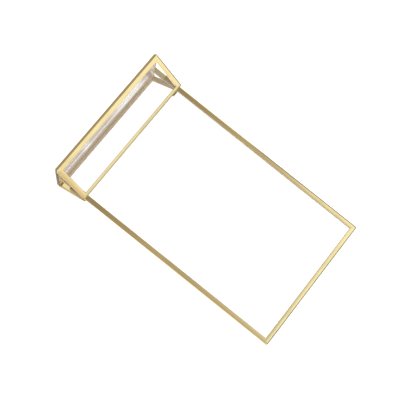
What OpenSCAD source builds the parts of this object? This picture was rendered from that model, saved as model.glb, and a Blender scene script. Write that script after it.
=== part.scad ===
// Table sign holder. A clear card pocket of two panes with gold edge mouldings stands in a clear
// three-sided base, whose sloping panels are framed in gold mouldings with mitred corners.
// Millimetres. X runs across the sign, the front faces -Y, Z is up, and the table is at z = 0.

/* [Card pocket] */
// Width of the card that the pocket takes
card_w = 101.6; // [80:0.2:140]
// Play left at each side of the card
card_play = 0.9; // [0.4:0.1:2]
// Gap between the two panes, where the card slides in from below
card_gap = 0.8; // [0.6:0.1:2]
// Height of the whole holder above the table
total_h = 194.5; // [120:0.5:300]
// Thickness of each clear pane
pane_t = 1; // [0.8:0.1:2]

/* [Edge mouldings of the pocket] */
// Width of the gold face along the pocket's edge
edge_face = 3.7; // [3:0.1:6]
// Thickness of the moulding's outer web
edge_web = 0.6; // [0.5:0.1:1.4]
// Thickness of each cheek over its pane
edge_cheek = 0.45; // [0.4:0.05:1]
/* [Base] */
// Height of the base at its apex
apex_h = 27.3; // [25:0.1:45]
// Lean of each leg from upright, in degrees
leg_tilt = 41; // [25:0.5:48]
// How far the base stands out past the pocket at each end
base_overhang = 1; // [0.8:0.1:4]
// Height of the vertical nose along the foot
nose_h = 1.8; // [1.2:0.1:2.4]
// Thickness of each sloping clear panel
panel_t = 1.8; // [1.2:0.1:2]
// Thickness of the clear bottom plate
plate_t = 1.5; // [1:0.1:2]
// Height of the bottom plate's underside above the table
plate_h = 0.6; // [0.5:0.1:1]

/* [Leg mouldings] */
// Width of the gold face along a leg's sides
bar_face = 4.1; // [3:0.1:5]
// Width of the gold face along the apex
apex_face = 3.3; // [2.7:0.1:5]
// Width of the gold face along the foot, above the nose
foot_face = 3.8; // [3:0.1:5]
// Thickness of a leg moulding
bar_t = 3; // [2.9:0.1:4]
// How deep a leg panel goes into its grooves
panel_bite = 1.6; // [1:0.1:2]
// How deep the bottom plate goes into the foot mouldings
plate_bite = 1.8; // [1:0.1:3]
// Wall of the foot moulding between the panel's groove and the plate's
foot_wall = 0.5; // [0.4:0.1:1]
// Lip of the foot moulding over the plate
foot_lip = 0.5; // [0.4:0.1:1]
// Length of the hook over the back panel's left top corner
left_hook = 8.7; // [4:0.1:16]
// Length of the hook over the back panel's right top corner
right_hook = 4.7; // [4.5:0.1:16]
// Depth of the clips that guide the pocket, front to back
clip_d = 9; // [8:0.2:11]
// Height above the table where the clips end
clip_end_h = 13; // [8:0.5:16]

/* [Edges and clearances] */
// Radius along the edges of the gold mouldings
edge_r = 0.35; // [0.1:0.05:0.4]
// Radius along the outer side edges of the leg frames
side_r = 1; // [0.4:0.05:1.2]
// Radius along the outer edges of the pocket's mouldings and along the apex
rim_r = 0.8; // [0.3:0.05:0.9]
// Radius of the frames' outer corners, seen from the front
corner_r = 1.4; // [0.5:0.1:1.5]
// Gap round a clear sheet in its groove
fit = 0.1; // [0.05:0.01:0.15]
// Running gap between the pocket and the base
run_gap = 0.3; // [0.2:0.05:0.4]
// Hairline left at each mitre
mitre_gap = 0.05; // [0.02:0.01:0.1]

/* [Hidden] */
$fn = 32;
// Overrun of every cut
over = 1;
gold = "#e4c67c";
clear = [0.88, 0.93, 0.94, 0.35];

// Pocket
pocket_w = card_w + 2*card_play + 2*edge_face;
pane_w = pocket_w - 2*(edge_web + fit);
stack_t = card_gap + 2*pane_t;
groove_t = stack_t + 2*fit;
edge_t = groove_t + 2*edge_cheek;
spacer_w = edge_face - edge_web - fit;
plate_top = plate_h + plate_t;
pane_h0 = plate_top + run_gap;
pane_h1 = total_h - edge_web - fit;

// Base, all half depths measured from the middle of the pocket
slot_half = edge_t/2 + run_gap;
base_w = pocket_w + 2*base_overhang;
apex_half = slot_half + bar_t*cos(leg_tilt);
foot_half = apex_half + (apex_h - nose_h)*tan(leg_tilt);
leg_len = (apex_h - nose_h)/cos(leg_tilt);
panel_in = (bar_t - panel_t)/2;
panel_w = base_w - 2*(bar_face - panel_bite);
foot_top = plate_top + fit + foot_lip;

// Half depth, at height z, of the plane that lies a depth inside the leg's outer face
function leg_half(depth, z) = foot_half - depth/cos(leg_tilt) - (z - nose_h)*tan(leg_tilt);
// Height at which that plane has the half depth y
function leg_height(depth, y) = nose_h + (foot_half - depth/cos(leg_tilt) - y)/tan(leg_tilt);

plate_half = leg_half(panel_in + panel_t + fit, plate_top) - foot_wall;
foot_in = plate_half - plate_bite;

// A rectangle with rounded corners, its lower left corner at the origin
module soft_rect(w, h, r) {
    translate([r, 0]) square([w - 2*r, h]);
    translate([0, r]) square([w, h - 2*r]);
    for (x = [r, w - r], y = [r, h - r]) translate([x, y]) circle(r);
}

// A rectangle with one radius at its left corners and another at its right ones
module half_soft_rect(w, h, left_r, right_r) {
    intersection() {
        soft_rect(w, h, min(left_r, right_r));
        if (left_r > right_r) soft_rect(w + 2*left_r, h, left_r);
            else translate([-2*right_r, 0]) soft_rect(w + 2*right_r, h, right_r);
    }
}

// A section drawn in Y and Z, carried along X and centred on the pocket
module along_x(len) {
    rotate([90, 0, 90]) translate([0, 0, -len/2]) linear_extrude(len) children();
}

// An outline drawn in X and Z, carried from y0 to y1
module along_y(y0, y1) {
    translate([0, y1, 0]) rotate([90, 0, 0]) linear_extrude(y1 - y0) children();
}

// The whole base seen from the front, with its rounded corners
module base_silhouette() {
    along_y(-foot_half - over, foot_half + over)
        translate([-base_w/2, 0]) soft_rect(base_w, apex_h, corner_r);
}

// Places a piece on the back leg: X across, -Y into the leg from its outer face, Z up the slope
module on_leg() {
    translate([0, foot_half, nose_h]) rotate([leg_tilt, 0, 0]) children();
}

// Section of a leg moulding that runs across, with its face from s0 to s1 up the slope
module leg_section(s0, s1) {
    translate([foot_half, nose_h]) rotate(leg_tilt)
        translate([-bar_t, s0]) soft_rect(bar_t, s1 - s0, edge_r);
}

// The same section at the apex, with the apex's own radius along its top
module apex_section(s0) {
    translate([foot_half, nose_h]) rotate(leg_tilt)
        translate([-bar_t, leg_len]) rotate(-90) half_soft_rect(leg_len - s0, bar_t, rim_r, edge_r);
}

// The groove for a leg panel, from s0 to s1 up the slope and half_w to each side
module panel_groove(half_w, s0, s1) {
    on_leg() translate([-half_w, -panel_in - panel_t - fit, s0])
        cube([2*half_w, panel_t + 2*fit, s1 - s0]);
}

// All grooves of one leg frame: the space of its panel and the fit round it
module leg_grooves() {
    panel_groove(panel_w/2 + fit,
        foot_face - panel_bite - fit, leg_len - apex_face + panel_bite + fit);
}

// Outline of the right-hand bar in the leg's plane, drawn back by a gap at its mitres.
// The top is mitred to a rail, or runs up square where there is none.
module bar_outline(gap, mitred_top) {
    inner = base_w/2 - bar_face - gap;
    polygon([
        [base_w/2 - gap, 0], [base_w/2 + over, 0],
        if (mitred_top) each [[base_w/2 + over, leg_len], [base_w/2 - gap, leg_len]]
            else each [[base_w/2 + over, leg_len + over], [inner, leg_len + over]],
        [inner, leg_len - apex_face], [inner, foot_face]
    ]);
}

// Space that a right-hand bar and its hairlines take out of the rails it meets
module bar_space(mitred_top) {
    intersection() {
        on_leg() along_y(-bar_t - mitre_gap, over) bar_outline(mitre_gap, mitred_top);
        translate([0, -foot_half - over, foot_top])
            cube([base_w, 2*(foot_half + over), apex_h]);
    }
}

// A right-hand bar of the back leg, standing on the foot moulding
module leg_bar(mitred_top) {
    difference() {
        intersection() {
            on_leg() along_y(-bar_t, 0) bar_outline(0, mitred_top);
            on_leg() translate([base_w/2 - bar_face, -bar_t, 0])
                linear_extrude(leg_len) half_soft_rect(bar_face, bar_t, edge_r, side_r);
            along_x(base_w) apex_section(-bar_t);
            base_silhouette();
            translate([0, 0, foot_top + mitre_gap]) cube([base_w, foot_half + over, apex_h]);
        }
        leg_grooves();
    }
}

// The foot moulding of the back leg: nose, sole, sloping part, and the grooves for panel and plate
module foot_rail() {
    intersection() {
        difference() {
            along_x(base_w) intersection() {
                union() {
                    leg_section(0, foot_face);
                    polygon([
                        [foot_in, 0], [foot_half - edge_r, 0], [foot_half, edge_r],
                        [foot_half, nose_h], [leg_half(0, foot_top), foot_top], [foot_in, foot_top]
                    ]);
                    translate([foot_half - edge_r, edge_r]) circle(edge_r);
                }
                square([foot_half + over, apex_h]);
            }
            leg_grooves();
            translate([-base_w/2 - over, foot_in - over, plate_h - fit])
                cube([base_w + 2*over, plate_half - foot_in + over + fit, plate_t + 2*fit]);
            for (side = [0, 1]) mirror([side, 0, 0]) bar_space(false);
        }
        base_silhouette();
    }
}

// The hook in which the back leg's right-hand bar ends, over the panel's top corner
module hook(len) {
    difference() {
        intersection() {
            along_x(base_w) apex_section(leg_len - apex_face);
            on_leg() along_y(-bar_t, 0) translate([base_w/2 - len, leg_len - apex_face])
                soft_rect(len, apex_face, side_r);
            base_silhouette();
        }
        leg_grooves();
    }
}

// A side moulding of the pocket, on the right, mitred at the top
module side_moulding() {
    difference() {
        intersection() {
            translate([pocket_w/2 - edge_face, -edge_t/2, pane_h0])
                linear_extrude(total_h - pane_h0) half_soft_rect(edge_face, edge_t, edge_r, rim_r);
            along_y(-edge_t, edge_t) polygon([
                [pocket_w/2 - edge_face, 0], [pocket_w/2, 0], [pocket_w/2, total_h],
                [pocket_w/2 - edge_face, total_h - edge_face]
            ]);
            pocket_silhouette();
        }
        pane_groove();
    }
}

// The pocket seen from the front, with its rounded top corners
module pocket_silhouette() {
    along_y(-edge_t, edge_t) translate([-pocket_w/2, 0]) soft_rect(pocket_w, total_h, corner_r);
}

// The groove that the side and top mouldings share, round the stack of panes
module pane_groove() {
    translate([-pane_w/2 - fit, -groove_t/2, 0]) cube([pane_w + 2*fit, groove_t, pane_h1 + fit]);
}

// A clear pane at the y of its front face
module pane(y0) {
    color(clear) translate([-pane_w/2, y0, pane_h0]) cube([pane_w, pane_t, pane_h1 - pane_h0]);
}

// A strip that holds the panes apart along one side
module side_spacer() {
    color(clear) translate([pane_w/2 - spacer_w, -card_gap/2, pane_h0])
        cube([spacer_w, card_gap, pane_h1 - spacer_w - pane_h0]);
}

// A clear panel of the back leg, between its grooves
module leg_panel() {
    color(clear) on_leg() translate([-panel_w/2, -panel_in - panel_t, foot_face - panel_bite])
        cube([panel_w, panel_t, leg_len - apex_face - foot_face + 2*panel_bite]);
}

// A gold clip under the apex, wrapped round the edge of the pocket, on the right
module clip() {
    color(gold) difference() {
        translate([pocket_w/2 - edge_face, 0, 0]) rotate([90, 0, 90])
            linear_extrude(edge_face + base_overhang) intersection() {
                polygon([
                    [-clip_d/2, clip_end_h], [clip_d/2, clip_end_h],
                    [clip_d/2, leg_height(bar_t + fit, clip_d/2)],
                    [slot_half, leg_height(bar_t + fit, slot_half)],
                    [-slot_half, leg_height(bar_t + fit, slot_half)],
                    [-clip_d/2, leg_height(bar_t + fit, clip_d/2)]
                ]);
                translate([-clip_d/2, clip_end_h]) soft_rect(clip_d, apex_h, corner_r);
            }
        translate([0, -slot_half, 0]) cube([pocket_w/2 + run_gap, 2*slot_half, apex_h]);
    }
}

module front_pane() pane(-stack_t/2);
module back_pane() pane(card_gap/2);
module right_spacer() side_spacer();
module left_spacer() mirror([1, 0, 0]) side_spacer();
module top_spacer() color(clear)
    translate([-pane_w/2, -card_gap/2, pane_h1 - spacer_w]) cube([pane_w, card_gap, spacer_w]);

module right_edge_moulding() color(gold) side_moulding();
module left_edge_moulding() color(gold) mirror([1, 0, 0]) side_moulding();
module top_edge_moulding() color(gold) difference() {
    intersection() {
        along_x(pocket_w) translate([-edge_t/2, total_h]) rotate(-90)
            half_soft_rect(edge_face, edge_t, rim_r, edge_r);
        along_y(-edge_t, edge_t) polygon([
            [-pocket_w/2 + mitre_gap, total_h], [pocket_w/2 - mitre_gap, total_h],
            [pocket_w/2 - edge_face - mitre_gap, total_h - edge_face],
            [-pocket_w/2 + edge_face + mitre_gap, total_h - edge_face]
        ]);
        pocket_silhouette();
    }
    pane_groove();
}

module bottom_plate() color(clear)
    translate([-base_w/2, -plate_half, plate_h]) cube([base_w, 2*plate_half, plate_t]);
module back_panel() leg_panel();
module front_panel() mirror([0, 1, 0]) leg_panel();

module back_foot_rail() color(gold) foot_rail();
module front_foot_rail() color(gold) mirror([0, 1, 0]) foot_rail();
module front_apex_rail() color(gold) mirror([0, 1, 0]) difference() {
    intersection() {
        along_x(base_w) apex_section(leg_len - apex_face);
        base_silhouette();
    }
    leg_grooves();
    on_leg() translate([-base_w, -bar_t - over, leg_len - apex_face - over])
        cube([2*base_w, bar_t - panel_in + over + fit, panel_bite + fit + over]);
    for (side = [0, 1]) mirror([side, 0, 0]) bar_space(true);
}
module front_right_bar() color(gold) mirror([0, 1, 0]) leg_bar(true);
module front_left_bar() color(gold) mirror([1, 0, 0]) mirror([0, 1, 0]) leg_bar(true);
module back_right_bar() color(gold) {
    leg_bar(false);
    hook(right_hook);
}
module back_left_bar() color(gold) mirror([1, 0, 0]) {
    leg_bar(false);
    hook(left_hook);
}
module right_clip() clip();
module left_clip() mirror([1, 0, 0]) clip();

front_pane();
back_pane();
left_spacer();
right_spacer();
top_spacer();
left_edge_moulding();
right_edge_moulding();
top_edge_moulding();
bottom_plate();
front_panel();
back_panel();
front_apex_rail();
front_foot_rail();
front_left_bar();
front_right_bar();
back_foot_rail();
back_left_bar();
back_right_bar();
left_clip();
right_clip();
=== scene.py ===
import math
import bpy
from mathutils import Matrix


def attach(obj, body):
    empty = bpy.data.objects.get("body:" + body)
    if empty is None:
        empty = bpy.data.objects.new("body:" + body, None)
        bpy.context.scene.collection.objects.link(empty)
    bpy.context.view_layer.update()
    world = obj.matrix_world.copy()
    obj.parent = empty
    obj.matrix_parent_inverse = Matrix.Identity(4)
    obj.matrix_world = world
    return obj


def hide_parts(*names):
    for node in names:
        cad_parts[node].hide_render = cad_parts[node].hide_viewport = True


bl_info = {
    "name": "Table sign holder",
    "version": (1, 0, 0),
    "blender": (4, 5, 0),
    "location": "3D View > Sidebar > Sign holder",
    "description": "Dresses a clear card pocket with gold edge mouldings that stands in a low clear base",
    "category": "Add Mesh",
}

from types import SimpleNamespace

import bmesh
import bpy
import numpy as np
from bpy.props import FloatProperty, FloatVectorProperty, PointerProperty
from mathutils import Matrix, Vector

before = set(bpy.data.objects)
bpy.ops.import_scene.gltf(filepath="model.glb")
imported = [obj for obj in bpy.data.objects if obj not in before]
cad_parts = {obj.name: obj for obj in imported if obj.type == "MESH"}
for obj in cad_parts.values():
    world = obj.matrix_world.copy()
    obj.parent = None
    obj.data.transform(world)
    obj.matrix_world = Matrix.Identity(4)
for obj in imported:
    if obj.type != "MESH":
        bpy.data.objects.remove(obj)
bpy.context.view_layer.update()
MM = 0.001

# Fineness of the meshes
ARC_STEPS = 5  # facets of each rounded edge
CORNER_STEPS = 8  # rows in which an end goes round a frame's outer corner
EASE_STEPS = 4  # rows in which a sheet's edge is eased
FACE_CUTS = 6  # extra points across a gold face
WEB_CUTS = 3  # extra points across the outer side of the pocket's and the apex rail's mouldings
SIDE_CUTS = 2  # extra points across the other sides of a leg moulding
FOOT_CUTS = (4, 2, 5)  # extra points across the sole, the nose and the gold face of a foot
MITRE_STEPS = 5  # rows along a foot's mitre
CORNER_TRIES = 20001  # angles among which the meeting of a corner and a mitre is sought
MERGE = 0.002  # points closer than this, in millimetres, become one
SHARP_ANGLE = 35  # degrees above which an edge is shaded sharp

# Small shapes, in millimetres
ARC_MARGIN = 0.06  # how close to its arcs a side has its first and last extra points
LIP_RADIUS = 0.18  # radius along the inner edge of the pocket's and the apex rail's gold faces
BAR_LIP_RADIUS = 0.25  # the same for the leg bars and the hooks
MOUTH_RADIUS = 0.06  # radius along the mouth of a groove
ROOT_RADIUS = 0.08  # radius along the bottom of a groove
NOSE_RADIUS = 0.3  # radius between a foot's nose and its gold face
FOOT_LIP_RADIUS = 0.2  # radius along the upper edge of a foot's gold face
FOOT_TOP_RADIUS = 0.15  # radius along the inner top edge of a foot
FOOT_CORNER = 2.6  # radius of the feet's bottom corners, seen from the front
FOOT_TAPER = 0.3  # how far the front frame's left side comes in from its apex to its foot
CROWN_DEPTH = 0.5  # depth in the moulding at which the crown and the lean of its face have faded out
TOP_LEAN = 0.10  # how far back the pocket's top face leans over its width
APEX_LEAN = 0.19  # the same for the apex rail's face
BAR_LEAN = 0.12  # the same for the leg frames' side bars
EASE = 0.12  # how far the edges of sheets and of square ends are eased
SQUARE_RUN = 0.4  # length of the first stretch behind a square end
HOOK_OVERLAP = 0.4  # how far a hook starts inside its bar
MITRE_PLAY = 0.07  # how far a foot's mitre stands back from the bar's
MITRE_BEYOND = 0.08  # how far beyond the bar's width a foot's last mitre row lies
INNER_START = 0.3  # distance from the outer side at which a leg moulding's back becomes an inner side
INNER_REACH = 2  # how far the inner side of a foot's top goes out from its edge
STRIP_GAP = 0.02  # gap between a spacer strip and a pane
NEAR = 0.02  # slack when a profile's points are sorted into inner and outer ones

# Finish
GOLD_ROUGHNESS = 0.10
DULLED = 0.1  # how much rougher handling makes the metal
PATCH_SCALE = 60.0  # how finely the handled patches repeat
LAND = 0.33  # share of the inner side's painted tone (shade at the back, light in front) on the faces between the grooves, which are 1
INNER_ROUGHNESS = 0.38
INNER_PAINTED_GLOW = 0.5  # strength of the painted glow in the grooves, which stands in for the light that a clear sheet carries there
CLIP_ROUGHNESS = 0.35
CLIP_PAINTED_GLOW = 0.25  # strength of the same painted glow on the clips, which stand close behind the panels
SAWN_ENDS = (0.0550, 0.0556)  # distance from the middle, in metres, at which the plate's ends begin
SAWN_ROUGHNESS = 0.45
SMUDGE_SHADE = 0.99  # tint left where a clear sheet is smudged
CLOUD_SHADE = 0.9  # tint left where a milky strip is cloudy
ALONG_BAR = (25, 4500, 1)  # how finely the drawing lines repeat, along and round a moulding
ALONG_CLIP = (2500, 2500, 40)  # the same for the clips, whose lines run up and down

# The room that the metal mirrors. Each pair of marks says where a zone begins and where it is full, in one
# part of a mirrored ray's direction: x to the right, y to the back, z up. A zone with four marks is full
# between the two in the middle.
TOP_LIGHT = 1.35  # light of the cool sky in front, which the pocket's top face mirrors
APEX_LIGHT = 0.85  # light of the cool zone before the zenith, which the apex rail mirrors
FRONT_Y = (-0.2, -0.6)
FRONT_SKY_Z = (0.125, 0.16)
DUSK_START = (0.32, 0.14)  # how far below level the front's dusk begins to clear: a slope over x and a start
DUSK_REACH = (2.32, 0.80, 0.12)  # the height over which it clears: the same, and its least
BEHIND_Y, BEHIND_Z = (0.3, 0.6), (0.115, 0.15)
WIDE_WINDOW_X = (-0.275, -0.262, -0.245, -0.215)
SLIM_WINDOW_X = (-0.193, -0.188, -0.182, -0.177)
CEILING_Z = (0.25, 0.38)
LEFT_X = (-0.36, -0.46)
RIGHT_X, RIGHT_Y, RIGHT_Z = (0.02, 0.2), (0.35, 0.15), (0.2, 0.4)
ZENITH_Y, ZENITH_Z = (-0.26, -0.16, -0.08, -0.03), (0.75, 0.85)
LAMP_X, LAMP_Y = (-0.52, -0.42, 0.02, 0.12), (-0.5, -0.4, -0.2, -0.12)
LAMP_WARM_X = (-0.17, -0.08)

# The floor, with marks in metres, as for the room
FLOOR_HALF = 3.0  # half the floor's width
FLOOR_DROP = 0.05  # how far the floor lies under the table plane, in millimetres
BRIGHT_BEHIND_Y = (0.15, 0.5)
BRIGHT_BEFORE_Y = (-0.6, -3.0, 0.0, 0.3)  # two marks and the values at them
BRIGHT_LEFT = (0.08, 0.2)  # marks of y less LEFT_SLOPE times x
LEFT_SLOPE = 1.2
END_GLOW_X, END_GLOW_Y = (0.044, 0.052, 0.0, 0.45), (-0.015, -0.005)  # the first with two values too
GLEAM_X, GLEAM_Y = (0.044, 0.049, 0.0540, 0.0555), (0.010, 0.014, 0.020, 0.023)
DIM_Y = (-0.6, -0.35, -0.18, -0.10)
DIM_SHARE = 0.33  # how much of the deep colour the band in front takes
SHADE_X, SHADE_Y = (-0.0570, -0.0550, 0.0550, 0.0570), (-0.0268, -0.0255, 0.0255, 0.0268)
GAP_X, GAP_Y = (-0.048, -0.034, -0.020, 0.0), (-0.032, -0.018, 0.0, 0.022)
GAP_CLOUD = (0.35, 0.75, -0.2, 0.25)  # two marks of the clouds, and what they add to the gap there
GAP_SHADE = (0.05, 1.0, 1.0, 0.5)  # two marks of the gap, and the shade that is left at them
CONTACT_X = (0.046, 0.054)

# Camera
AZIMUTH, ELEVATION, ROLL = 12.497, 1.905, 128.671  # degrees
TARGET = (2.38, 0, 91.368)  # millimetres
DISTANCE = 720.42  # millimetres
LENS, SENSOR = 88.427, 36  # millimetres
CLIP_RANGE = (0.01, 100)  # metres

# Settings


def length(name, description, millimetres):
    """A length that the user can set, with its default in millimetres."""
    return FloatProperty(name=name, description=description, default=millimetres * MM, min=0, unit="LENGTH",
                         precision=5)


def tone(name, description, default):
    """A colour that the user can set."""
    return FloatVectorProperty(name=name, description=description, subtype="COLOR", size=3, min=0, max=1,
                               default=default)


class SignHolderSizes(bpy.types.PropertyGroup):
    """Sizes of the holder, as part.scad has them"""

    pocket_width: length("Pocket width", "Width of the card pocket over its mouldings", 110.8)
    total_height: length("Height", "Height of the whole holder above the table", 194.5)
    edge_face: length("Edge face", "Width of the gold face along the pocket's edge", 3.7)
    edge_depth: length("Edge depth", "Depth of the pocket's mouldings, front to back", 3.9)
    edge_web: length("Edge web", "Thickness of the outer web of the pocket's mouldings", 0.6)
    pane_thickness: length("Pane", "Thickness of each clear pane", 1)
    card_gap: length("Card gap", "Gap between the panes", 0.8)
    base_width: length("Base width", "Width of the base over its ends", 112.8)
    base_height: length("Base height", "Height of the base at its apex", 27.3)
    nose_height: length("Nose", "Height of the upright nose along the foot", 1.8)
    leg_tilt: FloatProperty(name="Leg tilt", description="Lean of each leg from upright", subtype="ANGLE",
                            default=math.radians(41))
    bar_face: length("Bar face", "Width of the gold face along a leg's sides", 4.1)
    apex_face: length("Apex face", "Width of the gold face along the apex", 3.3)
    foot_face: length("Foot face", "Width of the gold face along the foot, above its nose", 3.8)
    bar_depth: length("Bar depth", "Thickness of a leg moulding", 3)
    panel_thickness: length("Panel", "Thickness of each sloping clear panel", 1.8)
    panel_bite: length("Panel bite", "How deep a leg panel goes into its grooves", 1.6)
    plate_thickness: length("Plate", "Thickness of the clear bottom plate", 1.5)
    plate_height: length("Plate height", "Height of the plate's underside above the table", 0.6)
    plate_bite: length("Plate bite", "How deep the plate goes into the foot mouldings", 1.8)
    foot_wall: length("Foot wall", "Wall of a foot moulding between the panel's groove and the plate's", 0.5)
    foot_lip: length("Foot lip", "Lip of a foot moulding over the plate", 0.5)
    left_hook: length("Left hook", "Length of the hook over the back panel's left top corner", 8.7)
    right_hook: length("Right hook", "Length of the hook over the back panel's right top corner", 4.7)
    edge_radius: length("Edge radius", "Radius along the edges of the gold mouldings", 0.35)
    side_radius: length("Side radius", "Radius along the outer side edges of the leg frames", 1)
    rim_radius: length("Rim radius", "Radius along the outer edges of the pocket and the apex", 0.8)
    corner_radius: length("Corner radius", "Radius of the frames' outer corners, seen from the front", 1.4)
    crown: length("Crown", "How far a gold face falls off from its middle to its edges", 0.04)
    fit: length("Fit", "Gap round a clear sheet in its groove", 0.1)
    run_gap: length("Running gap", "Gap between the pocket and the base", 0.3)
    mitre_gap: length("Mitre gap", "Hairline at each mitre", 0.05)


class SignHolderFinish(bpy.types.PropertyGroup):
    """Colours of the holder"""

    gold_color: tone("Gold", "Colour of the polished gold mouldings", (0.84, 0.705, 0.365))
    gold_dull: tone("Dull gold", "Colour of the gold where handling has dulled it", (0.77, 0.635, 0.32))
    # The back frame's inner sides are painted brown as shade; the front frame's and the pocket's are painted
    # pale as light.
    back_inner_shade: tone("Inner side", "Colour of the back frame's unpolished inner sides", (0.59, 0.44, 0.26))
    front_inner_light: tone("Pale inner side", "Colour inside the front frame and the pocket", (1.0, 0.90, 0.68))
    # The clips' dark brown is lightened by a painted glow.
    clip_color: tone("Clip", "Colour of the dull clips under the apex", (0.29, 0.20, 0.06))
    strip_color: tone("Strip", "Colour of the milky strips between the panes", (0.90, 0.85, 0.76))
    # The sawn ends' brown tint is painted shade, not the colour of the acrylic.
    sawn_end_shade: tone("Sawn end", "Tint of the plate's bare sawn ends", (0.68, 0.52, 0.33))
    clear_color: tone("Clear sheet", "Tint of the clear sheets", (0.992, 0.992, 0.985))


class SignHolderStudio(bpy.types.PropertyGroup):
    """Light and colours of the room and the floor"""

    white: FloatProperty(name="White", description="Brightness of the white studio", min=0, default=1.4)
    mirrored_white: FloatProperty(
        name="Mirrored white", description="Brightness of the white parts of the room in the metal", min=0,
        default=1.15)
    dusk: tone("Dusk", "Colour of the dark parts of the room in the metal", (0.43, 0.37, 0.325))
    deep: tone("Deep", "Colour of the room's ceiling and left side in the metal", (0.20, 0.17, 0.14))
    warm: tone("Warm", "Colour of the room at the right, as the metal mirrors it", (0.92, 0.80, 0.68))
    cool: tone("Cool", "Colour of the cool light high up in front", (0.84, 0.90, 0.97))
    haze: tone("Haze", "Colour of the room behind the holder that the plate mirrors", (0.68, 0.565, 0.455))
    contact: tone("Contact shade", "Colour of the floor under the plate's right end", (0.33, 0.245, 0.14))
    shade: tone("Shade", "Colour of the floor in the shade under the base", (0.60, 0.49, 0.43))


# Meshes


def outline(corners, radii, cuts):
    """Closed outline of a polygon with rounded corners, as an array of points.

    At each corner the arc's centre lies on the bisector, at radius over sin of the half angle, and its points
    turn from one tangent point to the other. Each side gets its number of extra points, evenly spaced between
    its arcs, and one more close to each arc, which keeps the side flat when it is shaded smooth."""
    corners = np.asarray(corners, float)
    pieces = []
    count = len(corners)
    turns = np.linspace(0, 1, ARC_STEPS + 1)
    arcs = []
    for i in range(count):
        here, before, after = corners[i], corners[i - 1], corners[(i + 1) % count]
        to_before = (before - here) / np.linalg.norm(before - here)
        to_after = (after - here) / np.linalg.norm(after - here)
        half = math.acos(np.clip(to_before @ to_after, -1, 1)) / 2
        middle = (to_before + to_after) / np.linalg.norm(to_before + to_after)
        centre = here + middle * radii[i] / math.sin(half)
        start = here + to_before * radii[i] / math.tan(half) - centre
        end = here + to_after * radii[i] / math.tan(half) - centre
        sweep = math.pi - 2 * half
        first = np.sin((1 - turns) * sweep) / math.sin(sweep)
        last = np.sin(turns * sweep) / math.sin(sweep)
        arcs.append(centre + first[:, None] * start + last[:, None] * end)
    widest_margin = 0.2  # share of a short side
    for i in range(count):
        start, end = arcs[i][-1], arcs[(i + 1) % count][0]
        side = np.linalg.norm(end - start)
        near = min(ARC_MARGIN, widest_margin * side) / side
        along = np.concatenate([[near], np.linspace(near, 1 - near, cuts[i] + 2)[1:-1], [1 - near]])
        pieces += [arcs[i], start + along[:, None] * (end - start)]
    return np.concatenate(pieces)


def loft(rows):
    """Quads of a tube through closed rows of points, all of one length, with one face over each end."""
    count, around = rows.shape[:2]
    i, j = np.meshgrid(np.arange(count - 1), np.arange(around), indexing="ij")
    k = (j + 1) % around
    quads = np.stack([i * around + j, (i + 1) * around + j, (i + 1) * around + k, i * around + k], -1)
    caps = [np.arange(around), np.arange(around)[::-1] + (count - 1) * around]
    return rows.reshape(-1, 3), quads.reshape(-1, 4), caps


def finish_piece(name, body, stands_for, material, shells, insides=None, smooth=True):
    """Makes one object, in the place of CAD nodes, of closed shells given in millimetres.

    Its UV map runs along and round each shell. Insides says for each shell which points of its profile lie on
    an unpolished inner side, from 0 to 1, and so how much painted inner tone they take. Raises an error if
    the sizes leave a shell without a shape."""
    if not all(np.isfinite(rows).all() for rows in shells):
        raise ValueError(f"The sizes give {name} no shape")
    points, faces, uvs, inner = [], [], [], []
    start = 0
    for number, rows in enumerate(shells):
        xyz, quads, caps = loft(rows)
        points.append(xyz)
        faces += (quads + start).tolist() + [(cap + start).tolist() for cap in caps]
        steps = np.linalg.norm(np.diff(rows, axis=0), axis=2).mean(axis=1)
        along = np.concatenate([[0], np.cumsum(steps)])
        round_steps = np.linalg.norm(np.diff(rows[0], axis=0), axis=1)
        turn = np.concatenate([[0], np.cumsum(round_steps)])
        uvs.append(np.stack(np.broadcast_arrays(along[:, None], turn[None, :]), -1).reshape(-1, 2))
        inside = insides[number] if insides else np.zeros(rows.shape[1])
        inner.append(np.broadcast_to(inside, rows.shape[:2]).ravel())
        start += len(xyz)
    mesh = bpy.data.meshes.new(name)
    mesh.from_pydata((np.concatenate(points) * MM).tolist(), [], faces)
    layer = mesh.uv_layers.new(name="along_and_round")
    corner = np.zeros(len(mesh.loops), np.int32)
    mesh.loops.foreach_get("vertex_index", corner)
    layer.data.foreach_set("uv", (np.concatenate(uvs)[corner] * MM).astype(np.float32).ravel())
    side = mesh.attributes.new("inner_side", "FLOAT", "POINT")
    side.data.foreach_set("value", np.concatenate(inner).astype(np.float32))
    shape = bmesh.new()
    shape.from_mesh(mesh)
    bmesh.ops.remove_doubles(shape, verts=shape.verts, dist=MERGE * MM)
    bmesh.ops.dissolve_degenerate(shape, edges=shape.edges, dist=MERGE * MM)
    bmesh.ops.recalc_face_normals(shape, faces=shape.faces)
    shape.to_mesh(mesh)
    shape.free()
    mesh.polygons.foreach_set("use_smooth", np.full(len(mesh.polygons), smooth))
    if smooth:
        mesh.set_sharp_from_angle(angle=math.radians(SHARP_ANGLE))
    mesh.materials.append(material)
    piece = bpy.data.objects.new(name, mesh)
    bpy.context.scene.collection.objects.link(piece)
    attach(piece, body)
    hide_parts(*stands_for)


def crowned(profile, width, crown, lean=0.0):
    """Lets the face of a profile, its side at depth 0, fall off by the crown from its middle to its edges.

    The fall is the crown times the square of the distance from the middle line over half the width, plus the
    lean times how near the outer side is, from 0 to 1. It fades to nothing by CROWN_DEPTH."""
    across, depth = profile[:, 0], profile[:, 1]
    fade = np.clip(1 - depth / CROWN_DEPTH, 0, 1)
    fall = crown * ((across - width / 2) / (width / 2)) ** 2 + lean * (1 - across / width)
    return np.stack([across, depth + fall * fade], -1)


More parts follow.
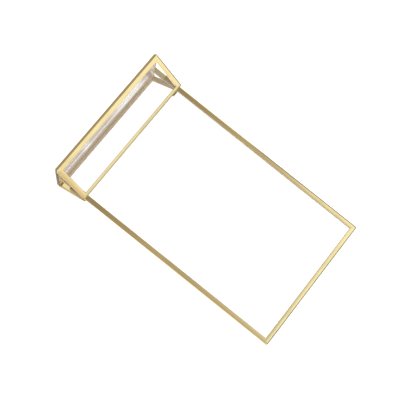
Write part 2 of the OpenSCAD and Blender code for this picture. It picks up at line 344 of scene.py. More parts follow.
def corner_end(slope, along, across):
    """Angle at which a rounded corner meets the mitre, where along times (1 - sin) is slope times across
    times (1 - cos)."""
    angle = np.linspace(0, math.pi / 2, CORNER_TRIES)
    return angle[np.argmin(np.abs(along * (1 - np.sin(angle)) - slope * across * (1 - np.cos(angle))))]


def mitred_end(points, slope, along, across):
    """Distances from a bar's end and from its outer side at which its profile's points lie, row by row.

    A point lies as far from the outer side as points says, and the mitre at slope times that from the end.
    The outer corner is rounded with the radii along and across the bar. Each row is parallel to the mitre and
    starts on the corner at an angle, where the outer side has gone in by across times (1 - cos) and the end
    by along times (1 - sin). Points further out than the corner are moved in to it."""
    angle = np.linspace(0, corner_end(slope, along, across), CORNER_STEPS + 1)[:, None]
    inset = across * (1 - np.cos(angle))
    moved = np.maximum(points[None, :], inset)
    return slope * moved + along * (1 - np.sin(angle)) - slope * inset, moved


def square_end(points, along, across):
    """As mitred_end, for an end cut square: each row lies along times (1 - sin) from the end."""
    angle = np.linspace(0, math.pi / 2, CORNER_STEPS + 1)[:, None]
    moved = np.maximum(points[None, :], across * (1 - np.cos(angle)))
    return np.broadcast_to(along * (1 - np.sin(angle)), moved.shape), moved


def eased_box(low, high):
    """Rows of a box with eased edges, as x, y and z: at angle a each end row lies EASE times (1 - cos a) in
    from the end, and its outline is drawn in by EASE times (1 - sin a)."""
    (x0, y0, z0), (x1, y1, z1) = low, high
    ring = outline([(x0, y0), (x1, y0), (x1, y1), (x0, y1)], [EASE] * 4, [0] * 4)
    turn = np.linspace(0, math.pi / 2, EASE_STEPS)[:, None]
    inset = EASE * (1 - np.sin(turn))
    x, y = (np.clip(ring[None, :, i], a + inset, b - inset) for i, (a, b) in enumerate(((x0, x1), (y0, y1))))
    z = np.broadcast_to(z0 + EASE * (1 - np.cos(turn)), x.shape)
    top = np.broadcast_to(z1 - EASE * (1 - np.cos(turn)), x.shape)
    return tuple(np.concatenate([part, part[::-1]]) for part in (x, y)) + (np.concatenate([z, top[::-1]]),)


# Materials


def feed(tree, socket, value):
    """Gives an input socket another socket, a number, a vector, a colour, or a number as a grey."""
    if isinstance(value, bpy.types.NodeSocket):
        tree.links.new(value, socket)
    elif socket.type == "RGBA":
        color = (value,) * 3 if isinstance(value, (int, float)) else value
        socket.default_value = (*color, 1)
    else:
        socket.default_value = value


def fill(tree, node, **values):
    """Sets what is given on a node, by attribute name or by the name of an input socket."""
    for name, value in values.items():
        if hasattr(node, name):
            setattr(node, name, value)
        else:
            feed(tree, node.inputs[name.replace("_", " ")], value)
    return node


def add_node(tree, kind, **values):
    """Adds a node and sets what is given, as fill does."""
    return fill(tree, tree.nodes.new(kind), **values)


def ramp(tree, value, start, end, low=0.0, high=1.0):
    """A smooth step of a value between two marks."""
    return add_node(tree, "ShaderNodeMapRange", interpolation_type="SMOOTHSTEP", clamp=True, Value=value,
                    From_Min=start, From_Max=end, To_Min=low, To_Max=high).outputs["Result"]


def math_node(tree, operation, first, *others):
    """The operation on numbers and sockets, from the first one on through the others."""
    for other in others:
        node = add_node(tree, "ShaderNodeMath", operation=operation)
        feed(tree, node.inputs[0], first)
        feed(tree, node.inputs[1], other)
        first = node.outputs["Value"]
    return first


def mix(tree, factor, a, b, kind="RGBA"):
    """Colour a where the factor is 0 and b where it is 1, or with the kind FLOAT number a and number b."""
    return add_node(tree, "ShaderNodeMix", data_type=kind, Factor=factor, A=a, B=b).outputs["Result"]


def within(tree, value, low_start, low_end, high_start, high_end):
    """1 between the two middle marks, falling smoothly to 0 at the outer ones."""
    return overlap(tree, ramp(tree, value, low_start, low_end),
                   ramp(tree, value, high_start, high_end, 1.0, 0.0))


def overlap(tree, *zones):
    """The part that all the zones share."""
    return math_node(tree, "MULTIPLY", *zones)


def either(tree, *zones):
    """The zones together."""
    return math_node(tree, "MAXIMUM", *zones)


def outside(tree, zone):
    """What lies outside a zone."""
    return math_node(tree, "SUBTRACT", 1.0, zone)


def sloped(tree, value, slope, start):
    """A value times a slope, plus a start."""
    return math_node(tree, "ADD", math_node(tree, "MULTIPLY", value, slope), start)


def axes(tree, vector):
    """The three parts of a vector."""
    return add_node(tree, "ShaderNodeSeparateXYZ", Vector=vector).outputs


def mirrored(tree):
    """1 for what a glossy surface mirrors and 0 for what the camera sees."""
    return math_node(tree, "MINIMUM", add_node(tree, "ShaderNodeLightPath").outputs["Glossy Depth"], 1.0)


def lit(color, light):
    """A colour at a strength."""
    return tuple(light * part for part in color)


def new_material(name):
    """A new material, its node tree and its Principled shader."""
    material = bpy.data.materials.new(name)
    material.use_nodes = True
    return material, material.node_tree, material.node_tree.nodes["Principled BSDF"]


def wear_group():
    """Group that turns a place on the metal into a dulled colour, a roughness and a fine height."""
    name = "Metal handling"
    if name in bpy.data.node_groups:
        return bpy.data.node_groups[name]
    group = bpy.data.node_groups.new(name, "ShaderNodeTree")
    face = group.interface
    for label, kind in (("Place", "Vector"), ("Clean color", "Color"), ("Dull color", "Color"),
                        ("Clean roughness", "Float"), ("Dull roughness", "Float")):
        face.new_socket(name=label, in_out="INPUT", socket_type=f"NodeSocket{kind}")
    size = face.new_socket(name="Patch scale", in_out="INPUT", socket_type="NodeSocketFloat")
    size.default_value = PATCH_SCALE
    for label, kind in (("Color", "Color"), ("Roughness", "Float"), ("Height", "Float")):
        face.new_socket(name=label, in_out="OUTPUT", socket_type=f"NodeSocket{kind}")
    into = group.nodes.new("NodeGroupInput").outputs
    patches = add_node(group, "ShaderNodeTexNoise", Vector=into["Place"], Scale=into["Patch scale"],
                       Detail=4.0, Roughness=0.55)
    worn = add_node(group, "ShaderNodeMapRange", clamp=True, Value=patches.outputs["Fac"], From_Min=0.45,
                    From_Max=0.75).outputs["Result"]
    fine = add_node(group, "ShaderNodeTexNoise", Vector=into["Place"], Scale=900.0, Detail=2.0)
    add_node(group, "NodeGroupOutput", Color=mix(group, worn, into["Clean color"], into["Dull color"]),
             Roughness=mix(group, worn, into["Clean roughness"], into["Dull roughness"], "FLOAT"),
             Height=fine.outputs["Fac"])
    return group


def drawn_metal(name, clean, dull, roughness, spacing, space):
    """Metal with drawing lines along it and patches dulled by handling.

    Spacing says how finely the lines repeat in the three directions of the space, Object or UV. Returns the
    material, its tree, its shader and the outputs of its handling group."""
    material, tree, shader = new_material(name)
    place = add_node(tree, "ShaderNodeTexCoord").outputs
    handling = add_node(tree, "ShaderNodeGroup", node_tree=wear_group(), Place=place["Object"],
                        Clean_color=clean, Dull_color=dull, Clean_roughness=roughness,
                        Dull_roughness=roughness + DULLED).outputs
    drawn = add_node(tree, "ShaderNodeMapping", Vector=place[space], Scale=spacing)
    lines = add_node(tree, "ShaderNodeTexNoise", Vector=drawn.outputs["Vector"], Scale=1.0, Detail=3.0)
    relief = math_node(tree, "ADD", lines.outputs["Fac"], handling["Height"])
    bump = add_node(tree, "ShaderNodeBump", Strength=0.04, Distance=0.0001, Height=relief)
    fill(tree, shader, Metallic=1.0, Base_Color=handling["Color"], Roughness=handling["Roughness"],
         Normal=bump.outputs["Normal"])
    return material, tree, shader, handling


def gold_for_mouldings(context, at_back=False):
    """Polished gold whose drawing lines follow the UV map along each moulding.

    In the grooves and on the inner sides it is unpolished and painted: brown as painted shade on the back
    frame, pale as painted light elsewhere, with a painted glow in that tone which stands in for the light
    that a clear sheet carries there."""
    name = "polished_gold_back_shaded_inside" if at_back else "polished_gold_front_lit_inside"
    if name in bpy.data.materials:
        return bpy.data.materials[name]
    finish = context.scene.sign_holder_finish
    # Painted tone of the inner sides: brown shade on the back frame, pale light on the front frame and the
    # pocket.
    inner = tuple(finish.back_inner_shade if at_back else finish.front_inner_light)
    material, tree, shader, handling = drawn_metal(
        name, finish.gold_color, finish.gold_dull, GOLD_ROUGHNESS, ALONG_BAR, "UV")
    side = add_node(tree, "ShaderNodeAttribute", attribute_name="inner_side").outputs["Fac"]
    dull = math_node(tree, "MINIMUM", math_node(tree, "DIVIDE", side, LAND), 1.0)
    # The inner tone colours the grooves and inner sides, and its emission is a painted glow, not a lamp.
    fill(tree, shader, Base_Color=mix(tree, dull, handling["Color"], inner),
         Roughness=mix(tree, dull, handling["Roughness"], INNER_ROUGHNESS, "FLOAT"),
         Emission_Color=mix(tree, side, 0.0, inner), Emission_Strength=INNER_PAINTED_GLOW)
    return material


def gold_for_clips(finish):
    """Rough, dark brown gold with drawing lines up and down, and a painted glow that stands in for the light
    behind the panels.
    """
    dull = tuple(finish.clip_color)
    material, tree, shader, _ = drawn_metal(
        "polished_gold_clip", dull, dull, CLIP_ROUGHNESS, ALONG_CLIP, "Object")
    # Painted glow on the clips, which are no lamp.
    fill(tree, shader, Emission_Color=dull, Emission_Strength=CLIP_PAINTED_GLOW)
    return material


def clear_material(name, finish):
    """Clear sheet with a faint tint, smudges in its gloss, a hardly visible ripple and rough sawn ends,
    tinted brown as painted shade.
    """
    material, tree, shader = new_material(name)
    place = add_node(tree, "ShaderNodeTexCoord").outputs["Object"]
    smudge = add_node(tree, "ShaderNodeTexNoise", Vector=place, Scale=45.0, Detail=5.0,
                      Roughness=0.6).outputs["Fac"]
    gloss = add_node(tree, "ShaderNodeMapRange", clamp=True, Value=smudge, From_Min=0.5, From_Max=0.8,
                     To_Min=0.0, To_Max=0.06).outputs["Result"]
    sawn = ramp(tree, math_node(tree, "ABSOLUTE", axes(tree, place)["X"], 0.0), *SAWN_ENDS)
    tint = mix(tree, smudge, finish.clear_color, lit(finish.clear_color, SMUDGE_SHADE))
    ripple = add_node(tree, "ShaderNodeTexNoise", Vector=place, Scale=25.0, Detail=1.0)
    bump = add_node(tree, "ShaderNodeBump", Strength=0.02, Distance=0.0002, Height=ripple.outputs["Fac"])
    # At the sawn ends the gloss turns rough and the tint brown, as painted shade.
    fill(tree, shader, Transmission_Weight=1.0, IOR=1.49, Base_Color=mix(tree, sawn, tint, finish.sawn_end_shade),
         Roughness=mix(tree, sawn, gloss, SAWN_ROUGHNESS, "FLOAT"), Normal=bump.outputs["Normal"])
    return material


def milky_material(name, finish):
    """Milky strip, cloudy in soft patches."""
    material, tree, shader = new_material(name)
    place = add_node(tree, "ShaderNodeTexCoord").outputs["Object"]
    cloud = add_node(tree, "ShaderNodeTexNoise", Vector=place, Scale=120.0, Detail=3.0).outputs["Fac"]
    fill(tree, shader, Base_Color=mix(tree, cloud, lit(finish.strip_color, CLOUD_SHADE), finish.strip_color),
         Roughness=0.5)
    return material


# Pieces


def derive(sizes):
    """All sizes in millimetres, with those that follow from them, as part.scad has them."""
    lengths = [name for name in sizes.__annotations__ if name != "leg_tilt"]
    d = SimpleNamespace(**{name: getattr(sizes, name) / MM for name in lengths})
    d.cos, d.sin, d.tan = math.cos(sizes.leg_tilt), math.sin(sizes.leg_tilt), math.tan(sizes.leg_tilt)
    d.slot_half = d.edge_depth / 2 + d.run_gap
    d.foot_half = d.slot_half + d.bar_depth * d.cos + (d.base_height - d.nose_height) * d.tan
    d.leg_length = (d.base_height - d.nose_height) / d.cos
    d.panel_in = (d.bar_depth - d.panel_thickness) / 2
    d.groove_front = d.panel_in - d.fit
    d.groove_back = d.panel_in + d.panel_thickness + d.fit
    d.plate_top = d.plate_height + d.plate_thickness
    d.foot_top = d.plate_top + d.fit + d.foot_lip
    d.plate_half = d.foot_half - d.groove_back / d.cos - (d.plate_top - d.nose_height) * d.tan - d.foot_wall
    d.foot_in = d.plate_half - d.plate_bite
    d.pane_width = d.pocket_width - 2 * (d.edge_web + d.fit)
    d.pane_low = d.plate_top + d.run_gap
    d.pane_high = d.total_height - d.edge_web - d.fit
    d.spacer_width = d.edge_face - d.edge_web - d.fit
    return d


def grooved(face, bottom, depths, outer_radius, lip_radius, cuts):
    """Profile of a moulding with one groove, as points across it and in depth.

    It is face wide from its outer side, which is at 0, and its groove's bottom lies at bottom. Depths has
    its front, the groove's two sides and its back. Cuts has the extra points on its front, back and outer
    side."""
    front, low, high, back = depths
    half = [outer_radius, lip_radius, MOUTH_RADIUS, ROOT_RADIUS]
    return outline([(0, front), (face, front), (face, low), (bottom, low), (bottom, high), (face, high),
                    (face, back), (0, back)], half + half[::-1], [cuts[0], 0, 0, 0, 0, 0, *cuts[1:]])


def inner_side(d, across, depth, bottom, land=LAND):
    """1 for the points of a leg moulding's profile in its groove, land for those on its side towards the
    hollow and 0 for the others."""
    groove = (depth > d.groove_front - NEAR) & (depth < d.groove_back + NEAR) & (across > bottom - NEAR)
    return np.where(groove, 1.0, np.where((depth > d.groove_back) & (across > INNER_START), land, 0.0))


def on_leg(d, x, depth, up, side):
    """Points of the front (side -1) or back (side 1) leg, from their depth in it and their way up its slope.

    The leg's outer face starts at the top of the nose and leans inwards: going up, y shrinks by the sine and
    z grows by the cosine of the tilt, and going deeper, y shrinks by the cosine and z by the sine."""
    y = side * (d.foot_half - depth * d.cos - up * d.sin)
    z = d.nose_height - depth * d.sin + up * d.cos
    return np.stack(np.broadcast_arrays(x, y, z), -1)


def both_ends(end, moved):
    """Rows of a rail from its left end to its right, as distances from its middle and from its outer side."""
    return np.concatenate([-end[::-1], end]), np.concatenate([moved[::-1], moved])


class SIGNHOLDER_OT_pocket_mouldings(bpy.types.Operator):
    """Builds the gold mouldings of the card pocket: a U-shaped profile up both sides and along the top"""

    bl_idname = "signholder.pocket_mouldings"
    bl_label = "Pocket mouldings"

    def execute(self, context):
        d = derive(context.scene.sign_holder_sizes)
        gold = gold_for_mouldings(context)
        half, face, web = d.edge_depth / 2, d.edge_face, d.edge_web
        groove = d.pane_thickness + d.card_gap / 2 + d.fit
        across, place = grooved(face, web, (-half, -groove, groove, half), d.rim_radius, LIP_RADIUS,
                                (FACE_CUTS, FACE_CUTS, WEB_CUTS)).T
        depth = np.stack([across, half - np.abs(place)], -1)
        y, top_y = (np.sign(place) * (half - crowned(depth, face, d.crown, lean)[:, 1])
                    for lean in (0, TOP_LEAN))
        inside = [((np.abs(place) < groove + NEAR) & (across > web - NEAR)).astype(float)]
        gone, moved = mitred_end(across, 1, d.corner_radius, d.corner_radius)
        # The low end is eased: its first row is drawn in by EASE across, and the second lies EASE higher.
        shrink = np.array([[EASE], [0.0], [0.0]])
        start_across = np.clip(across[None, :], shrink, face - shrink)
        start_z = np.broadcast_to(d.pane_low + np.array([[0.0], [EASE], [SQUARE_RUN]]), start_across.shape)
        inward = np.concatenate([start_across, moved])
        z = np.concatenate([start_z, d.total_height - gone])
        for side, word in ((-1, "left"), (1, "right")):
            rows = np.stack(np.broadcast_arrays(side * (d.pocket_width / 2 - inward), y, z), -1)
            finish_piece(f"{word}_edge_gold", "pocket", (f"{word}_edge_moulding",), gold,
                         [rows], inside)
        x, below = both_ends(d.pocket_width / 2 - d.mitre_gap - gone, moved)
        rows = np.stack(np.broadcast_arrays(x, top_y, d.total_height - below), -1)
        finish_piece("top_edge_gold", "pocket", ("top_edge_moulding",), gold, [rows], inside)
        return {"FINISHED"}


class SIGNHOLDER_OT_leg_bars(bpy.types.Operator):
    """Builds the side bars of both leg frames, with the two hooks at the back"""

    bl_idname = "signholder.leg_bars"
    bl_label = "Leg bars"

    def execute(self, context):
        d = derive(context.scene.sign_holder_sizes)
        face, hook_face, depths = d.bar_face, d.apex_face, (0, d.groove_front, d.groove_back, d.bar_depth)
        bottom, hook_bottom = (width - d.panel_bite - d.fit for width in (face, hook_face))
        across, deep = crowned(grooved(face, bottom, depths, d.side_radius, BAR_LIP_RADIUS,
                                       (FACE_CUTS, SIDE_CUTS, SIDE_CUTS)), face, d.crown, BAR_LEAN).T
        # A bar starts on the foot's mitre, which rises by the foot's face over the bar's width, but not lower
        # than the foot's top: at the height z, the way up is (z less the nose plus depth times sin) over cos.
        foot = (d.foot_top + d.mitre_gap - d.nose_height + deep * d.sin) / d.cos
        start = np.maximum(d.foot_face / face * across, foot)[None, :]
        round_up = d.corner_radius / d.cos
        mitred = mitred_end(across, hook_face / face, round_up, d.corner_radius)
        square = square_end(across, round_up, d.corner_radius)
        hook_across, hook_deep = grooved(hook_face, hook_bottom, depths, d.rim_radius, BAR_LIP_RADIUS,
                                         (SIDE_CUTS, SIDE_CUTS, SIDE_CUTS)).T
        # A hook's rows lie the radius times (1 - sin) from its end, drawn in by the radius times (1 - cos).
        turn = np.linspace(0, math.pi / 2, CORNER_STEPS + 1)[:, None]
        hook_gone, inset = (d.side_radius * (1 - wave(turn)) for wave in (np.sin, np.cos))
        rounded = np.clip(hook_across[None, :], inset, hook_face - inset)
        below = np.concatenate([hook_across[None, :], rounded])
        for y_side, y_word in ((-1, "front"), (1, "back")):
            gold = gold_for_mouldings(context, at_back=y_side > 0)
            gone, moved = mitred if y_side < 0 else square
            inward = np.concatenate([across[None, :], moved])
            up = np.concatenate([start, d.leg_length - gone])
            for x_side, x_word in ((-1, "left"), (1, "right")):
                narrowed = inward
                if x_side < 0 and y_side < 0:
                    # The taper times how near a point is to the outer side and to the foot, each from 0 to 1
                    narrowed = inward + FOOT_TAPER * (1 - inward / face) * (1 - up / d.leg_length)
                shells = [on_leg(d, x_side * (d.base_width / 2 - narrowed), deep, up, y_side)]
                # Only the left bars take the painted inner tone on their sides towards the hollow.
                land = LAND if x_side < 0 else 0.0
                insides = [inner_side(d, across, deep, bottom, land)]
                if y_side > 0:
                    reach = d.left_hook if x_side < 0 else d.right_hook
                    out = np.concatenate([[[face - HOOK_OVERLAP]], reach - hook_gone])
                    x = x_side * (d.base_width / 2 - out)
                    shells.append(on_leg(d, x, hook_deep, d.leg_length - below, y_side))
                    insides.append(inner_side(d, hook_across, hook_deep, hook_bottom, land))
                name = f"{y_word}_{x_word}"
                finish_piece(f"{name}_gold_bar", "base", (f"{name}_bar",), gold, shells,
                             insides)
        return {"FINISHED"}


class SIGNHOLDER_OT_apex_rail(bpy.types.Operator):
    """Builds the gold rail along the apex: a lip over the panel and a web over its top edge"""

    bl_idname = "signholder.apex_rail"
    bl_label = "Apex rail"

    def execute(self, context):
        d = derive(context.scene.sign_holder_sizes)
        face, web, front, back = d.apex_face, d.apex_face - d.panel_bite - d.fit, d.groove_front, d.bar_depth
        across, deep = crowned(outline(
            [(0, 0), (face, 0), (face, front), (web, front), (web, back), (0, back)],
            [d.rim_radius, LIP_RADIUS, MOUTH_RADIUS, ROOT_RADIUS, BAR_LIP_RADIUS, d.rim_radius],
            [FACE_CUTS, 0, 0, SIDE_CUTS, 0, WEB_CUTS]), face, d.crown, APEX_LEAN).T
        gone, moved = mitred_end(across, d.bar_face / face, d.corner_radius, d.corner_radius / d.cos)
        x, below = both_ends(d.base_width / 2 - d.mitre_gap - gone, moved)
        gold = gold_for_mouldings(context)
        finish_piece("front_apex_gold", "base", ("front_apex_rail",), gold,
                     [on_leg(d, x, deep, d.leg_length - below, -1)], [inner_side(d, across, deep, web)])
        return {"FINISHED"}


class SIGNHOLDER_OT_foot_rails(bpy.types.Operator):
    """Builds the two gold foot mouldings, with their grooves for a leg panel and for the plate"""

    bl_idname = "signholder.foot_rails"
    bl_label = "Foot rails"

    def execute(self, context):
        d = derive(context.scene.sign_holder_sizes)
        low, high = d.plate_height - d.fit, d.plate_top + d.fit
        seat = d.foot_face - d.panel_bite - d.fit
        edge = d.plate_half + d.fit
        wall_up = (d.foot_top - d.nose_height + d.groove_back * d.sin) / d.cos
        slope = [tuple(on_leg(d, 0, deep, up, 1)[1:]) for deep, up in (
            (0, d.foot_face), (d.groove_front, d.foot_face), (d.groove_front, seat), (d.groove_back, seat),
            (d.groove_back, wall_up))]
        profile = outline(
            [(d.foot_in, 0), (d.foot_half, 0), (d.foot_half, d.nose_height), *slope, (d.foot_in, d.foot_top),
             (d.foot_in, high), (edge, high), (edge, low), (d.foot_in, low)],
            [ROOT_RADIUS, d.edge_radius, NOSE_RADIUS, FOOT_LIP_RADIUS, MOUTH_RADIUS, ROOT_RADIUS, ROOT_RADIUS,
             MOUTH_RADIUS, FOOT_TOP_RADIUS, *[MOUTH_RADIUS] * 4],
            [*FOOT_CUTS, 0, 0, 0, 0, SIDE_CUTS, 0, 0, 0, 0, 0])
        out, height = profile.T
        deep = (d.foot_half - out) * d.cos - (height - d.nose_height) * d.sin
        up = (height - d.nose_height) * d.cos + (d.foot_half - out) * d.sin
        panel_groove = (deep > d.groove_front - NEAR) & (deep < d.groove_back + NEAR) & (up > seat - NEAR)
        plate_groove = (height > low - NEAR) & (height < high + NEAR) & (out < edge + NEAR)
        inner = (deep > d.groove_back) & (out < d.foot_in + INNER_REACH) & (height > high)
        inside = np.where(panel_groove | plate_groove, 1.0, np.where(inner, LAND, 0.0))
        # Each row lies at its inset from the end. Round the corner the inset is the radius times (1 - cos),
        # and the row stands on a height of the radius times (1 - sin). Every row is cut off at the mitre,
        # which rises by the foot's face over the bar's width, but not lower than the foot's top.
        turn = np.linspace(0, math.pi / 2, CORNER_STEPS + 1)
        mitre_rows = np.linspace(FOOT_CORNER, d.bar_face + MITRE_BEYOND, MITRE_STEPS + 1)[1:]
        inset = np.concatenate([FOOT_CORNER * (1 - np.cos(turn)), mitre_rows])[:, None]
        raised = np.concatenate([FOOT_CORNER * (1 - np.sin(turn)), np.zeros(MITRE_STEPS)])[:, None]
        blunt = (d.foot_top - d.nose_height + deep * d.sin) / d.cos
        mitre = d.foot_face / d.bar_face * (inset - MITRE_PLAY)
        cut = np.minimum(up[None, :], np.maximum(mitre, blunt[None, :]))
        y = d.foot_half - deep * d.cos - cut * d.sin
        z = np.maximum(d.nose_height - deep * d.sin + cut * d.cos, raised)
        end = d.base_width / 2 - inset
        taper = FOOT_TAPER * np.clip(1 - inset / d.bar_face, 0, 1) * (1 - cut / d.leg_length)
        y, z = (np.concatenate([part, part[::-1]]) for part in (y, z))
        for side, word in ((-1, "front"), (1, "back")):
            left_end = taper - end if side < 0 else -end
            x = np.concatenate([np.broadcast_to(part, cut.shape) for part in (left_end, end[::-1])])
            rows = np.stack(np.broadcast_arrays(x, side * y, z), -1)
            finish_piece(f"{word}_foot_gold", "base", (f"{word}_foot_rail",),
                         gold_for_mouldings(context, at_back=side > 0), [rows], [inside])
        return {"FINISHED"}


class SIGNHOLDER_OT_clear_sheets(bpy.types.Operator):
    """Builds the clear panes, spacer strips, sloping panels and bottom plate, with eased edges"""

    bl_idname = "signholder.clear_sheets"
    bl_label = "Clear sheets"

    def execute(self, context):
        d = derive(context.scene.sign_holder_sizes)
        finish = context.scene.sign_holder_finish
        clear = clear_material("clear_acrylic_sheet", finish)
        milky = milky_material("clear_acrylic_strip", finish)
        wide, gap, pane = d.pane_width / 2, d.card_gap / 2, d.pane_thickness
        strip = d.pane_high - d.spacer_width
        thin = gap - STRIP_GAP
        end = d.base_width / 2
        boxes = {
            "front_pane": ((-wide, -gap - pane, d.pane_low), (wide, -gap, d.pane_high)),
            "back_pane": ((-wide, gap, d.pane_low), (wide, gap + pane, d.pane_high)),
            "left_spacer": ((-wide, -thin, d.pane_low), (-wide + d.spacer_width, thin, strip)),
            "right_spacer": ((wide - d.spacer_width, -thin, d.pane_low), (wide, thin, strip)),
            "top_spacer": ((-wide, -thin, strip), (wide, thin, d.pane_high)),
            "bottom_plate": ((-end, -d.plate_half, d.plate_height), (end, d.plate_half, d.plate_top)),
        }
        for node, (low, high) in boxes.items():
            rows = np.stack(eased_box(low, high), -1)
            body = "base" if node == "bottom_plate" else "pocket"
            material = milky if node.endswith("spacer") else clear
            finish_piece(f"{node}_sheet", body, (node,), material, [rows], smooth=False)
        half = end - d.bar_face + d.panel_bite
        low = (-half, d.panel_in, d.foot_face - d.panel_bite)
        high = (half, d.panel_in + d.panel_thickness, d.leg_length - d.apex_face + d.panel_bite)
        x, deep, up = eased_box(low, high)
        for side, word in ((-1, "front"), (1, "back")):
            finish_piece(f"{word}_panel_sheet", "base", (f"{word}_panel",), clear,
                         [on_leg(d, x, deep, up, side)], smooth=False)
        return {"FINISHED"}


class SIGNHOLDER_OT_clips(bpy.types.Operator):
    """Gives the two clips under the apex, which stay as the CAD has them, their dull gold"""

    bl_idname = "signholder.clips"
    bl_label = "Clips"

    def execute(self, context):
        gold = gold_for_clips(context.scene.sign_holder_finish)
        for name in ("left_clip", "right_clip"):
            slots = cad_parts[name].data.materials
            slots.clear()
            slots.append(gold)
        return {"FINISHED"}


# Studio


def place_camera(scene):
    """Camera at the photograph's viewpoint: azimuth and elevation give the line of sight, and roll turns the
    picture."""
    azimuth, elevation, roll = (math.radians(angle) for angle in (AZIMUTH, ELEVATION, ROLL))
    back = Vector((math.sin(azimuth) * math.cos(elevation), -math.cos(azimuth) * math.cos(elevation),
                   math.sin(elevation)))
    right = (-back).cross(Vector((0, 0, 1))).normalized()
    up = right.cross(-back)
    cam_x = math.cos(roll) * right + math.sin(roll) * up
    cam_y = -math.sin(roll) * right + math.cos(roll) * up
    camera = bpy.data.objects.new("camera", bpy.data.cameras.new("camera"))
    camera.data.lens = LENS
    camera.data.sensor_width = SENSOR
    camera.data.clip_start, camera.data.clip_end = CLIP_RANGE
    turn = Matrix((cam_x, cam_y, back)).transposed().to_4x4()
    camera.matrix_world = Matrix.Translation((Vector(TARGET) + DISTANCE * back) * MM) @ turn
    scene.collection.objects.link(camera)
    scene.camera = camera


def studio_world(scene, studio):
    """White room for the camera, and another one for the metal to mirror.

    Low in front it is dusky, which clears upwards, sooner at the left, into white and a cool sky. Behind, it
    is hazy but for two white windows. Its left side and its ceiling are deep, with a warm zone at the upper
    right, a cool zone just before the zenith and a lamp. The rest is white."""
    world = bpy.data.worlds.new("studio")
    world.use_nodes = True
    tree = world.node_tree
    x, y, z = axes(tree, add_node(tree, "ShaderNodeTexCoord").outputs["Generated"])
    white, cool, warm = studio.mirrored_white, tuple(studio.cool), tuple(studio.warm)
    front = ramp(tree, y, *FRONT_Y)
    sky = ramp(tree, z, *FRONT_SKY_Z)
    *line, least = DUSK_REACH
    reach = math_node(tree, "MAXIMUM", sloped(tree, x, *line), least)
    rise = math_node(tree, "DIVIDE", math_node(tree, "ADD", z, sloped(tree, x, *DUSK_START)), reach)
    clear = either(tree, ramp(tree, rise, 0.0, 1.0), sky)
    room = mix(tree, overlap(tree, front, sky), white, lit(cool, TOP_LIGHT))
    room = mix(tree, overlap(tree, front, outside(tree, clear)), room, studio.dusk)
    windows = either(tree, within(tree, x, *WIDE_WINDOW_X), within(tree, x, *SLIM_WINDOW_X))
    behind = overlap(tree, ramp(tree, y, *BEHIND_Y), ramp(tree, z, *BEHIND_Z), outside(tree, windows))
    room = mix(tree, behind, room, studio.haze)
    dark = either(tree, ramp(tree, z, *CEILING_Z), ramp(tree, x, *LEFT_X))
    room = mix(tree, dark, room, studio.deep)
    right = overlap(tree, ramp(tree, x, *RIGHT_X), ramp(tree, z, *RIGHT_Z), ramp(tree, y, *RIGHT_Y))
    room = mix(tree, right, room, warm)
    top = ramp(tree, z, *ZENITH_Z)
    room = mix(tree, overlap(tree, top, within(tree, y, *ZENITH_Y)), room, lit(cool, APEX_LIGHT))
    lamp = overlap(tree, within(tree, x, *LAMP_X), within(tree, y, *LAMP_Y), top)
    room = mix(tree, lamp, room, mix(tree, ramp(tree, x, *LAMP_WARM_X), white, warm))
    fill(tree, tree.nodes["Background"], Color=mix(tree, mirrored(tree), studio.white, room), Strength=1.0)
    scene.world = world


def floor_material(studio):
    """White to the camera but for a shade under the base, which thins out in one gap and in soft clouds and
    darkens under the plate's right end.

    What the metal mirrors is dusky, with a deeper band in front, and bright far behind, far in front, at the
    left and in two small places at the right end."""
    material, tree, shader = new_material("studio_floor")
    tree.nodes.remove(shader)
    place = add_node(tree, "ShaderNodeTexCoord").outputs["Object"]
    x, y, _ = axes(tree, place)
    end_glow = overlap(tree, ramp(tree, x, *END_GLOW_X), ramp(tree, y, *END_GLOW_Y))
    gleam = overlap(tree, within(tree, x, *GLEAM_X), within(tree, y, *GLEAM_Y))
    to_left = math_node(tree, "SUBTRACT", y, math_node(tree, "MULTIPLY", x, LEFT_SLOPE))
    bright = either(tree, ramp(tree, y, *BRIGHT_BEHIND_Y), ramp(tree, y, *BRIGHT_BEFORE_Y),
                    ramp(tree, to_left, *BRIGHT_LEFT), end_glow, gleam)
    dim = math_node(tree, "MULTIPLY", within(tree, y, *DIM_Y), DIM_SHARE)
    room = mix(tree, bright, mix(tree, dim, studio.dusk, studio.deep), studio.mirrored_white)
    clouds = add_node(tree, "ShaderNodeTexNoise", Vector=place, Scale=38.0, Detail=2.0, Roughness=0.5)
    gap = overlap(tree, within(tree, x, *GAP_X), within(tree, y, *GAP_Y))
    gap = math_node(tree, "ADD", gap, ramp(tree, clouds.outputs["Fac"], *GAP_CLOUD))
    under = overlap(tree, within(tree, x, *SHADE_X), within(tree, y, *SHADE_Y), ramp(tree, gap, *GAP_SHADE))
    shade = mix(tree, ramp(tree, x, *CONTACT_X), studio.shade, studio.contact)
    shown = mix(tree, mirrored(tree), mix(tree, under, studio.white, shade), room)
    glow = add_node(tree, "ShaderNodeEmission", Color=shown).outputs["Emission"]
    tree.links.new(glow, tree.nodes["Material Output"].inputs["Surface"])
    return material


def studio_floor(scene, studio):
    """A level sheet of floor just under the table plane."""
    mesh = bpy.data.meshes.new("floor")
    low, high = -FLOOR_HALF, FLOOR_HALF
    corners = [(x, y, -FLOOR_DROP * MM) for x, y in ((low, low), (high, low), (high, high), (low, high))]
    mesh.from_pydata(corners, [], [(0, 1, 2, 3)])
    mesh.materials.append(floor_material(studio))
    floor = bpy.data.objects.new("floor", mesh)
    scene.collection.objects.link(floor)


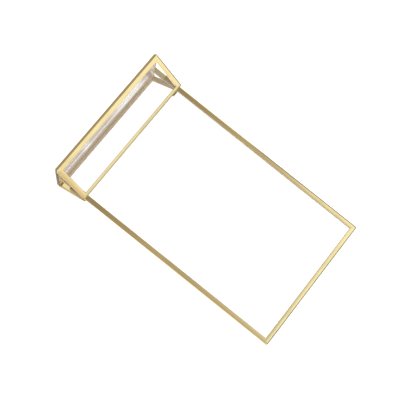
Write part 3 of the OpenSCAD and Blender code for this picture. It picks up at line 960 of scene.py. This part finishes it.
class SIGNHOLDER_OT_stage(bpy.types.Operator):
    """Builds the floor, the studio light and the camera"""

    bl_idname = "signholder.stage"
    bl_label = "Stage"

    def execute(self, context):
        scene = context.scene
        studio = scene.sign_holder_studio
        scene.view_settings.view_transform = "Standard"
        scene.view_settings.look = "None"
        studio_world(scene, studio)
        studio_floor(scene, studio)
        place_camera(scene)
        return {"FINISHED"}


class SIGNHOLDER_PT_panel(bpy.types.Panel):
    """The sign holder's settings and operators in the sidebar"""

    bl_idname = "SIGNHOLDER_PT_panel"
    bl_label = "Sign holder"
    bl_space_type = "VIEW_3D"
    bl_region_type = "UI"
    bl_category = "Sign holder"

    def draw(self, context):
        layout = self.layout
        scene = context.scene
        for group in (scene.sign_holder_sizes, scene.sign_holder_finish, scene.sign_holder_studio):
            for name in group.__annotations__:
                layout.prop(group, name)
        for operator in OPERATORS:
            layout.operator(operator.bl_idname)


OPERATORS = (
    SIGNHOLDER_OT_pocket_mouldings, SIGNHOLDER_OT_leg_bars, SIGNHOLDER_OT_apex_rail, SIGNHOLDER_OT_foot_rails,
    SIGNHOLDER_OT_clear_sheets, SIGNHOLDER_OT_clips, SIGNHOLDER_OT_stage,
)
CLASSES = (SignHolderSizes, SignHolderFinish, SignHolderStudio, *OPERATORS, SIGNHOLDER_PT_panel)


def register():
    """Registers the classes and puts their settings on the scene."""
    for cls in CLASSES:
        bpy.utils.register_class(cls)
    bpy.types.Scene.sign_holder_sizes = PointerProperty(type=SignHolderSizes)
    bpy.types.Scene.sign_holder_finish = PointerProperty(type=SignHolderFinish)
    bpy.types.Scene.sign_holder_studio = PointerProperty(type=SignHolderStudio)


def unregister():
    """Takes away what register has added."""
    del bpy.types.Scene.sign_holder_studio
    del bpy.types.Scene.sign_holder_finish
    del bpy.types.Scene.sign_holder_sizes
    for cls in reversed(CLASSES):
        bpy.utils.unregister_class(cls)


def main():
    """Builds the sign holder and its stage."""
    register()
    bpy.ops.signholder.pocket_mouldings()
    bpy.ops.signholder.leg_bars()
    bpy.ops.signholder.apex_rail()
    bpy.ops.signholder.foot_rails()
    bpy.ops.signholder.clear_sheets()
    bpy.ops.signholder.clips()
    bpy.ops.signholder.stage()


if __name__ == "__main__":
    main()
